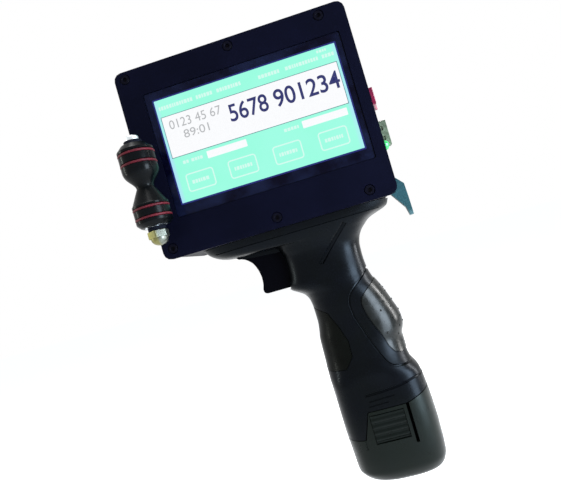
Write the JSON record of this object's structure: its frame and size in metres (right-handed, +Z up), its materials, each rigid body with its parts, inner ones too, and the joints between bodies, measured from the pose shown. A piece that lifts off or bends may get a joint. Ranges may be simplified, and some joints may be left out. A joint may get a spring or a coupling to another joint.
{
  "type": "date code inkjet printer",
  "caption": "Handheld inkjet coder: a screen box with a guide roller at its printing end, on a pistol grip with a trigger and a pull-off battery.",
  "frame": {"origin": "centre of the battery's flat foot", "axes": "+Z up the grip to the top of the box, -Y out of the screen, -X towards the printing end"},
  "size_m": [0.1412, 0.1101, 0.2407],
  "materials": {
    "black_aluminium": "fine matt black anodised sheet",
    "black_plastic": "satin moulded plastic",
    "handle_plastic": "semi-gloss moulded plastic with a fine grain",
    "trigger_plastic": "matt moulded plastic",
    "grip_rubber": "soft overmoulded rubber",
    "battery_plastic": "satin moulded plastic with a fine grain",
    "touch_glass": "glossy black-bordered touch panel",
    "circuit_board": "green solder mask",
    "dark_steel": "black oxide",
    "bright_steel": "polished",
    "socket_shell": "stamped nickel-plated sheet",
    "socket_plastic": "moulded insulator",
    "red_plastic": "glossy red",
    "green_lens": "clear green lens",
    "ring_rubber": "dull red rubber",
    "teal_plastic": "satin teal plastic",
    "ink_cartridge": "satin black moulding",
    "nozzle_metal": "gold-plated",
    "contact_metal": "plated spring contact",
    "cell_wrap": "shrink-wrapped sleeve"
  },
  "bodies": {
    "frame": {"bracket_screw_1": "dark_steel", "bracket_screw_2": "dark_steel", "cartridge_stall": "black_plastic", "contact_board": "circuit_board", "controller_board": "circuit_board", "cover_screw_1": "dark_steel", "cover_screw_2": "dark_steel", "cover_screw_3": "dark_steel", "cover_screw_4": "dark_steel", "display_module": "black_plastic", "dome_nut": "bright_steel", "front_grip": "grip_rubber", "front_plate": "black_aluminium", "handle_half_front": "handle_plastic", "handle_half_rear": "handle_plastic", "handle_screw_1": "dark_steel", "handle_screw_2": "dark_steel", "handle_screw_3": "dark_steel", "handle_screw_4": "dark_steel", "housing_shell": "black_aluminium", "indicator_lamp": "green_lens", "latch_pin": "bright_steel", "palm_pad": "grip_rubber", "plate_screw_1": "dark_steel", "plate_screw_2": "dark_steel", "plate_screw_3": "dark_steel", "plate_screw_4": "dark_steel", "plate_screw_5": "dark_steel", "plate_screw_6": "dark_steel", "rear_cover": "black_aluminium", "roller_axle": "bright_steel", "roller_bracket": "black_aluminium", "switch_frame": "black_plastic", "terminal_block": "black_plastic", "touch_glass": "touch_glass", "trigger_spring": "bright_steel", "trigger_switch": "black_plastic", "usb_shell": "socket_shell", "usb_tongue": "socket_plastic"},
    "guide_roller": {"guide_roller": "black_plastic", "grip_ring_1": "ring_rubber", "grip_ring_2": "ring_rubber", "grip_ring_3": "ring_rubber", "grip_ring_4": "ring_rubber", "roller_bearing_upper": "bright_steel", "roller_bearing_lower": "bright_steel"},
    "rocker": {"rocker_button": "red_plastic"},
    "latch": {"latch_lever": "teal_plastic"},
    "cartridge": {"ink_cartridge": "ink_cartridge", "nozzle_plate": "nozzle_metal"},
    "trigger": {"trigger": "trigger_plastic"},
    "battery": {"battery_case": "battery_plastic", "battery_cell_1": "cell_wrap", "battery_cell_2": "cell_wrap", "battery_cell_3": "cell_wrap", "battery_terminal_1": "contact_metal", "battery_terminal_2": "contact_metal"},
    "battery_latch_front": {"battery_latch_front": "battery_plastic"},
    "battery_latch_rear": {"battery_latch_rear": "battery_plastic"}
  },
  "joints": [
    {"name": "roller_spin", "type": "hinge", "parent": "frame", "child": "guide_roller", "pos_m": [-0.0868, -0.043, 0.17875], "axis": [0, 0, 1], "continuous": true},
    {"name": "rocker_tilt", "type": "hinge", "parent": "frame", "child": "rocker", "pos_m": [0.02885, -0.0116, 0.1933], "axis": [0, 0, 1], "range_deg": [0, 16]},
    {"name": "latch_open", "type": "hinge", "parent": "frame", "child": "latch", "pos_m": [0.00905, 0.042, 0.195], "axis": [0, -1, 0], "range_deg": [0, 40]},
    {"name": "cartridge_slide", "type": "slide", "parent": "frame", "child": "cartridge", "axis": [0, 1, 0], "range_m": [0, 0.03]},
    {"name": "trigger_pull", "type": "slide", "parent": "frame", "child": "trigger", "axis": [1, 0, 0], "range_m": [0, 0.006], "stiffness_N_per_m": 400, "springref_m": -0.003, "deforming": ["trigger_spring"]},
    {"name": "battery_slide", "type": "slide", "parent": "frame", "child": "battery", "axis": [0, 0, -1], "range_m": [0, 0.06]},
    {"name": "battery_latch_front_press", "type": "hinge", "parent": "battery", "child": "battery_latch_front", "pos_m": [-0.00585, -0.0187, 0.0242], "axis": [-1, 0, 0], "range_deg": [0, 3], "stiffness_Nm_per_rad": 0.05, "springref_deg": -5.73},
    {"name": "battery_latch_rear_press", "type": "hinge", "parent": "battery", "child": "battery_latch_rear", "pos_m": [-0.00585, 0.0187, 0.0242], "axis": [1, 0, 0], "range_deg": [0, 3], "stiffness_Nm_per_rad": 0.05, "springref_deg": -5.73}
  ]
}
